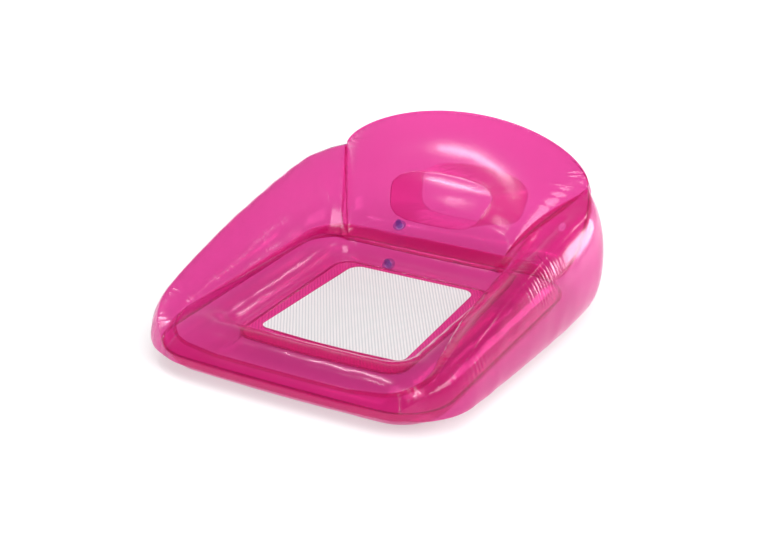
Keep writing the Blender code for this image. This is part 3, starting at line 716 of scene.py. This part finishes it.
near_shoulder = JUNCTION + np.linspace(0, 1, SHOULDER_STEPS)[:-1] ** 2
arm_stations = np.concatenate([near_shoulder, fine(JUNCTION + 1, NOSE, CHAMBER_SPACING)])
arm_shares = np.linspace(0, 1, ARM_STEPS)
for side, hand in ((1, "left"), (-1, "right")):
    stations = arm_stations if side > 0 else -arm_stations[::-1]
    grid = wrapped_grid(stations, arm_shares)
    run = lengths(grid[:, ARM_STEPS])
    up = reaches(grid)
    down = up[:, -1:] - up
    past_ridge = up - up[:, ARM_STEPS, None]
    from_shoulder = (run if side > 0 else run[-1] - run)[:, None] + 0 * up
    share = from_shoulder / from_shoulder.max()
    on_ridge = near(past_ridge, RIDGE_BREADTH)
    proud = gathers(up[len(up) // 2], from_shoulder.T, WALL_PLEATS, 31 + side).T * (1 - on_ridge)
    proud += gathers(run, up, RING_WELD_PLEATS, 41 + side)
    proud += gathers(run, down, FLANGE_PLEATS, 51 + side) * (FLANGE_SHARE + near(share, SHOULDER_BREADTH))
    waist = near(share - WAIST_PLACE, WAIST_BREADTH) * (1 if side > 0 else RIGHT_WAIST_SHARE)
    over = np.abs(past_ridge - WAIST_DROP)
    proud += gathers(run, over, WAIST_PLEATS, 55 + side) * (waist + ramp(share - NOSE_PART, PART_BLEND))
    belly = np.abs(up - BELLY_HEIGHT + BELLY_FALL * share)
    belly_part = ramp(share - BELLY_PART[0], PART_BLEND) * ramp(BELLY_PART[1] - share, BELLY_END)
    proud += gathers(run, belly, BELLY_PLEATS, 61 + side) * belly_part
    proud += swells(run[:, None], up, ARM_SWELLS, 71 + side)
    free = ramp(up, ARM_FREE) * ramp(down, ARM_FREE)
    grid = grid + grid_normals(grid) * (proud * free)[:, :, None]
    arm = film_sheet(f"{hand}_arm_film", grid, clear_film)
    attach(arm, "chair")
    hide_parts(f"{hand}_arm_sheet")

half_band = fine(NOSE, FRONT_MIDDLE, CHAMBER_SPACING)
band_stations = np.concatenate([half_band, -half_band[-2::-1]])
band_grid = wrapped_grid(band_stations, np.linspace(0, 1, BAND_STEPS))
run = lengths(band_grid[:, BAND_STEPS])
up = lengths(band_grid.mean(0))[None, :] + 0 * run[:, None]
down = up.max() - up
proud = gathers(run, up, BAND_WELD_PLEATS, 81)
proud += gathers(run, down, BAND_FLANGE_PLEATS, 82)
free = ramp(up, BAND_FREE) * ramp(down, BAND_FREE)
band_grid = band_grid + grid_normals(band_grid) * (proud * free)[:, :, None]
band = film_sheet("front_band_film", band_grid, clear_film)
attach(band, "chair")
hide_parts("front_band_sheet")

# Chamber: backrest
# Two sheets, welded to each other along the ridge with a narrow fin and to the ring below. An oval wall of
# film inside holds them together and makes the headrest. A wall at each shoulder, with an air hole, parts
# backrest from arm.

# Half width, half height and middle of the headrest on each sheet, as shares of the sheet.
HEADREST_FRONT = (0.408, 0.172, 0.376)
HEADREST_REAR = (0.372, 0.145, 0.458)
HEADREST_ROUNDING = 0.58
HEADREST_WELD = 0.92
HEADREST_ASPECT = 0.5
HEADREST_DEPTH = 0.003
HEADREST_HOLLOW = 0.06
PILLOW_DEPTH = 0.004
SPOKES = 90
SIDE_STEPS = 46
BACK_RINGS = 34
PUCKERS = (0.014, 0.009, 0.024)
PUCKERED_ENDS = 0.45
SIDE_PLEATS = (0.026, 0.0045, 0.05)
FOOT_PLEATS = (0.016, 0.0009, 0.02)
OVAL_PLEATS = (0.03, 0.0006, 0.02)
BACK_SWELLS = (0.001, 0.16)
BACK_FREE = 0.01
OVAL_FREE = 0.006


def headrest_place(front, angle, size=1):
    """A point of the headrest's rounded outline, as shares across and up a sheet of the backrest."""
    wide, tall, middle = HEADREST_FRONT if front else HEADREST_REAR
    cosine, sine = math.cos(angle), math.sin(angle)
    return np.array(
        [
            size * wide * math.copysign(abs(cosine) ** HEADREST_ROUNDING, cosine),
            middle + size * tall * math.copysign(abs(sine) ** HEADREST_ROUNDING, sine),
        ]
    )


def sheet_point(place, front):
    """The point at a place that is given as shares across and up a sheet of the backrest."""
    return chamber_line(place[0] * JUNCTION, [place[1]], front)[0]


def backrest_grid(front, seed):
    """A sheet in rings from its rim to the headrest's middle, its outside on the left of each spoke."""
    half = np.sin(np.linspace(0, math.pi / 2, SPOKES))
    across = np.concatenate([-half[::-1], half[1:]])
    rise = np.linspace(0, 1, SIDE_STEPS)
    rim = [(a, 0.0) for a in across] + [(1.0, r) for r in rise[1:-1]]
    rim += [(a, 1.0) for a in across[::-1]] + [(-1.0, r) for r in rise[-2:0:-1]]
    rim = np.array(rim)
    middle = (HEADREST_FRONT if front else HEADREST_REAR)[2]
    angles = [math.atan2(up - middle, a * HEADREST_ASPECT) for a, up in rim]
    oval = np.array([headrest_place(front, angle) for angle in angles])
    rings = [mix(rim, oval, share) for share in np.linspace(0, 1, BACK_RINGS)[:-1] ** 1.25]
    sizes = [1, 0.98, 0.96, 0.94, HEADREST_WELD, *np.linspace(0.88, 0.06, 17)]
    rings += [np.array([headrest_place(front, angle, size) for angle in angles]) for size in sizes]
    grid = np.array([[sheet_point(place, front) for place in ring] for ring in rings]).transpose(1, 0, 2)
    outer = len(rings) - len(sizes)
    reach = reaches(grid)
    to_oval = np.abs(reach - reach[:, outer : outer + 1])
    dent = np.empty(grid.shape[:2])
    dent[:, :outer] = HEADREST_DEPTH * np.exp(-to_oval[:, :outer] / HEADREST_HOLLOW)
    pillow = np.clip((HEADREST_WELD - np.array(sizes)) / HEADREST_WELD, 0, 1)
    dent[:, outer:] = HEADREST_DEPTH - (HEADREST_DEPTH + PILLOW_DEPTH) * (1 - (1 - pillow) ** 2)
    run = lengths(np.vstack([grid[:, 0], grid[:1, 0]]))[:-1]
    top = (rim[:, 1] == 1).astype(float)
    sides = (np.abs(rim[:, 0]) == 1).astype(float)
    foot = (rim[:, 1] == 0).astype(float)
    ends = np.clip((np.abs(rim[:, 0]) - PUCKERED_ENDS) / 0.35, 0.15, 1)
    proud = gathers(run, reach, PUCKERS, seed) * (top * ends)[:, None]
    proud += gathers(run, reach, SIDE_PLEATS, seed + 1) * sides[:, None]
    proud += gathers(run, reach, FOOT_PLEATS, seed + 2) * foot[:, None]
    proud += gathers(run, to_oval, OVAL_PLEATS, seed + 3)
    proud += swells(grid[:, :, 0], grid[:, :, 2], BACK_SWELLS, seed + 4)
    free = ramp(reach, BACK_FREE) * ramp(to_oval, OVAL_FREE)
    normals = grid_normals(grid, True)
    return grid + normals * (proud * free - dent)[:, :, None], rim, outer


backrest = {}
for front, seed, name in ((True, 101, "backrest_front"), (False, 111, "backrest_rear")):
    grid, rim, weld_ring = backrest_grid(front, seed)
    if not front:
        grid = grid[::-1]
        rim = rim[::-1]
    count, rows = grid.shape[:2]
    points = [grid.reshape(-1, 3), grid[:, -1].mean(0)[None]]
    faces = faces_to_middle(count, rows)
    foot = [i for i in range(count) if rim[i, 1] == 0]
    weld = upper_weld if front else lower_weld
    start = count * rows + 1
    points.append(np.array([weld(rim[i, 0] * JUNCTION, 1) for i in foot]))
    for k in range(len(foot) - 1):
        faces.append((foot[k] * rows, start + k, start + k + 1, foot[k + 1] * rows))
    top = [i for i in range(count) if rim[i, 1] == 1]
    start += len(foot)
    fin = []
    for i in top:
        rise = np.array([0.25 * rim[i, 0], 0.35, 1.0])
        fin.append(grid[i, 0] + rise / np.linalg.norm(rise) * RIDGE_FIN)
    points.append(np.array(fin))
    for k in range(len(top) - 1):
        faces.append((top[k] * rows, start + k, start + k + 1, top[k + 1] * rows))
    backrest[name] = grid, weld_ring
    points = np.vstack(points)
    if not front:
        points, valve_hole = open_at_valve(points, "backrest_valve")
        faces = [face for face in faces if not valve_hole[list(face)].all()]
        used = sorted({corner for face in faces for corner in face})
        number = {corner: place for place, corner in enumerate(used)}
        points, faces = points[used], [[number[corner] for corner in face] for face in faces]
    sheet = shell(f"{name}_film", points, faces, clear_film)
    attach(sheet, "chair")
    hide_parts(f"{name}_sheet")

OVAL_WALL_STEPS = 24
OVAL_WALL_BOW = 0.004
OVAL_WALL_PLEATS = (0.03, 0.002, 0.05)
OVAL_WALL_RING = 3

front_grid, front_weld = backrest["backrest_front"]
rear_grid, rear_weld = backrest["backrest_rear"]
rear_grid = rear_grid[::-1]
front_line, rear_line = front_grid[:, front_weld + OVAL_WALL_RING], rear_grid[:, rear_weld + OVAL_WALL_RING]
shares = np.linspace(0.004, 0.996, OVAL_WALL_STEPS)
wall = np.array([mix(rear_line, front_line, share) for share in shares]).transpose(1, 0, 2)
run = lengths(front_line)
bow = np.sin(np.linspace(0, math.pi, OVAL_WALL_STEPS))[None, :]
proud = OVAL_WALL_BOW * bow + gathers(run, 0.05 * bow + 0 * run[:, None], OVAL_WALL_PLEATS, 131)
wall = wall - grid_normals(wall, True) * proud[:, :, None]
baffle = film_sheet("headrest_wall_film", wall, clear_film, True)
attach(baffle, "chair")
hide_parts("headrest_baffle")

WEB_LIFT = 0.0009
WEB_TOP = 0.96
WEB_STEPS = 50
WEB_COLUMNS = 40
WEB_SWELLS = (0.0015, 0.07)
WEB_STRIP = 0.13
WEB_STRIP_GAP = 0.0012
AIR_HOLE = 0.012
AIR_HOLE_PLACE = (25, 21)

for side, hand in ((1, "left"), (-1, "right")):
    station = side * JUNCTION
    weld = np.interp(JUNCTION, WELD_STATIONS, WELD_ANGLES)
    bottom = ring_points(station, np.linspace(weld + WELD_HALF_ANGLE, 2, WEB_COLUMNS), WEB_LIFT)
    on_flange = flange_point(outer_seam, station, WELD_WIDTH / 2, SEAM_HEIGHT + OUTER_STACK + WEB_LIFT)
    bottom = np.vstack([bottom, on_flange])
    across = lengths(bottom) / lengths(bottom)[-1]
    top = ridge(station)
    shares = np.linspace(0, WEB_TOP, WEB_STEPS)
    lines = [chamber_line(station, shares, front) for front in (True, False)]
    sections = []
    for share, *points in zip(shares, *lines):
        front, rear = [point - mix(line[0], top, share) for point, line in zip(points, lines)]
        sections.append([mix(low, top, share) + front * (1 - w) + rear * w for low, w in zip(bottom, across)])
    grid = np.array(sections)
    proud = swells(grid[:, :, 1] + grid[:, :, 0], grid[:, :, 2], WEB_SWELLS, 141 + side)
    proud *= np.sin(np.linspace(0, math.pi, WEB_STEPS))[:, None] * np.sin(math.pi * across)[None, :]
    grid = grid + grid_normals(grid) * proud[:, :, None]
    strips = [chamber_line(station + side * WEB_STRIP, shares, front)[:, None] for front in (True, False)]
    inward = np.array([0, WEB_STRIP_GAP, 0])
    grid = np.concatenate([strips[0] + inward, grid, strips[1] - inward], 1)
    middle = grid[AIR_HOLE_PLACE]
    away = grid - middle
    reach = np.linalg.norm(away, axis=2)
    away /= np.maximum(reach, 1e-9)[:, :, None]
    hole = reach < AIR_HOLE
    grid[hole] = middle + AIR_HOLE * away[hole]
    web = film_sheet(f"{hand}_shoulder_wall_film", grid, clear_film, False, FILM, 0, hole)
    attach(web, "chair")
    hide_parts(f"{hand}_junction_web")

# Valves
# Moulded soft PVC, sky blue and half clear. A flat base is welded to the film, and a stem slides in it, with
# a check flap at its inner end and a plug on a tab in its mouth.

soft_vinyl, tree = finish_named("sky_blue_moulded_vinyl")
place = add(tree, "ShaderNodeTexCoord")["Object"]
bloom = add(tree, "ShaderNodeTexNoise", sockets={"Vector": place, "Scale": 900.0, "Detail": 3.0})["Fac"]
satin = add(
    tree,
    "ShaderNodeMapRange",
    sockets={"Value": bloom, "From Min": 0.3, "From Max": 0.7, "To Min": 0.28, "To Max": 0.4},
)["Result"]
relief = add(tree, "ShaderNodeBump", sockets={"Strength": 0.2, "Distance": 0.0002, "Height": bloom})["Normal"]
moulded = add(
    tree,
    "ShaderNodeBsdfPrincipled",
    sockets={
        "Base Color": linear("9CC8F4"),
        "Roughness": satin,
        "IOR": 1.53,
        "Subsurface Weight": 0.25,
        "Subsurface Scale": 0.002,
        "Normal": relief,
    },
)["BSDF"]
cloudy = add(tree, "ShaderNodeBsdfTransparent", sockets={"Color": linear("E6EFFB")})["BSDF"]
half_clear = add(tree, "ShaderNodeMixShader", sockets={0: 0.09, 1: cloudy, 2: moulded})["Shader"]
add(tree, "ShaderNodeOutputMaterial", sockets={"Surface": half_clear})
for name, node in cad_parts.items():
    if "_valve_" in name:
        node.data.materials.clear()
        node.data.materials.append(soft_vinyl)

# Studio
# A white floor that glows more further out, so that it has no edge, and a room that is white low down and
# dim above. A long softbox hangs high on the left, a wide one stands beside the camera and four small ones
# stand round them.

floor_paint, tree = finish_named("white_studio_floor")
rays = add(tree, "ShaderNodeLightPath")
matt = add(tree, "ShaderNodeBsdfDiffuse", sockets={"Color": linear("E4E4E4")})["BSDF"]
seen = add(
    tree, "ShaderNodeMath", {"operation": "MAXIMUM"}, {0: rays["Is Camera Ray"], 1: rays["Is Glossy Ray"]}
)[0]
seen = add(tree, "ShaderNodeMath", {"operation": "MAXIMUM"}, {0: seen, 1: rays["Is Transmission Ray"]})[0]
place = add(tree, "ShaderNodeTexCoord")["Object"]
away = add(tree, "ShaderNodeVectorMath", {"operation": "LENGTH"}, {0: place})["Value"]
level = add(
    tree,
    "ShaderNodeMapRange",
    {"interpolation_type": "SMOOTHSTEP"},
    {"Value": away, "From Min": 1.1, "From Max": 2.5, "To Min": 0.42, "To Max": 1.0},
)["Result"]
seen = add(tree, "ShaderNodeMath", {"operation": "MULTIPLY"}, {0: seen, 1: level})[0]
glow = add(tree, "ShaderNodeEmission", sockets={"Color": (1, 1, 1, 1), "Strength": seen})["Emission"]
painted = add(tree, "ShaderNodeAddShader", sockets={0: matt, 1: glow})["Shader"]
add(tree, "ShaderNodeOutputMaterial", sockets={"Surface": painted})
floor_mesh = bpy.data.meshes.new("studio_floor")
build = bmesh.new()
bmesh.ops.create_grid(build, x_segments=1, y_segments=1, size=20, matrix=Matrix.Translation((0, 0, -0.0006)))
build.to_mesh(floor_mesh)
build.free()
floor_mesh.materials.append(floor_paint)
studio_floor = bpy.data.objects.new("studio_floor", floor_mesh)
bpy.context.scene.collection.objects.link(studio_floor)

room = bpy.data.worlds.new("studio room")
bpy.context.scene.world = room
room.use_nodes = True
tree = room.node_tree
tree.nodes.clear()
toward = add(tree, "ShaderNodeTexCoord")["Generated"]
up = add(tree, "ShaderNodeSeparateXYZ", sockets={"Vector": toward})["Z"]
wall = add(
    tree,
    "ShaderNodeMapRange",
    {"interpolation_type": "SMOOTHSTEP"},
    {"Value": up, "From Min": 0.12, "From Max": 0.5, "To Min": 1.0, "To Max": 0.2},
)["Result"]
lit = add(tree, "ShaderNodeBackground", sockets={"Color": (1, 1, 1, 1), "Strength": wall})["Background"]
add(tree, "ShaderNodeOutputWorld", sockets={"Surface": lit})

# Name, direction from the chair, width and height, radiance, and turn about the direction in degrees.
LAMP_DISTANCE = 6
SOFTBOXES = (
    ("high_left", (-0.34, -0.09, 0.94), (1.9, 0.3), 28, 44),
    ("front_left", (-0.32, -0.38, 0.87), (0.4, 0.3), 24, 0),
    ("high_behind", (0.45, 0.4, 0.8), (0.5, 0.5), 12, 0),
    ("low_right", (0.58, 0.79, 0.2), (1.7, 1.5), 9, 0),
    ("high_right", (0.33, 0.78, 0.53), (0.8, 0.45), 8, 0),
    ("beside_camera", (0.5, -0.42, 0.76), (3.6, 3.6), 6.3, 0),
)
for name, direction, size, radiance, turn in SOFTBOXES:
    lamp = bpy.data.lights.new(f"{name}_softbox", "AREA")
    lamp.shape = "RECTANGLE"
    lamp.size, lamp.size_y = size
    lamp.energy = radiance * math.pi * size[0] * size[1]
    box = bpy.data.objects.new(f"{name}_softbox", lamp)
    box.location = Vector((0, 0, 0.15)) + LAMP_DISTANCE * Vector(direction).normalized()
    box.rotation_mode = "QUATERNION"
    aim = Vector(direction).to_track_quat("Z", "Y")
    box.rotation_quaternion = aim @ Quaternion((0, 0, 1), math.radians(turn))
    bpy.context.scene.collection.objects.link(box)

# The camera's place and lens were fitted to the photograph's view of the seat ring.
camera_data = bpy.data.cameras.new("camera")
camera_data.lens = 67.97
camera_data.sensor_width = 36
camera = bpy.data.objects.new("camera", camera_data)
camera.location = (1.5944, -2.9022, 1.6127)
camera.rotation_mode = "QUATERNION"
camera.rotation_quaternion = (camera.location - Vector((-0.042, 0.0608, 0.1184))).to_track_quat("Z", "Y")
bpy.context.scene.collection.objects.link(camera)
bpy.context.scene.camera = camera
bpy.context.scene.view_settings.view_transform = "Standard"
# A line of sight crosses up to a dozen sheets of clear film, each with two faces.
bpy.context.scene.cycles.transparent_max_bounces = 48
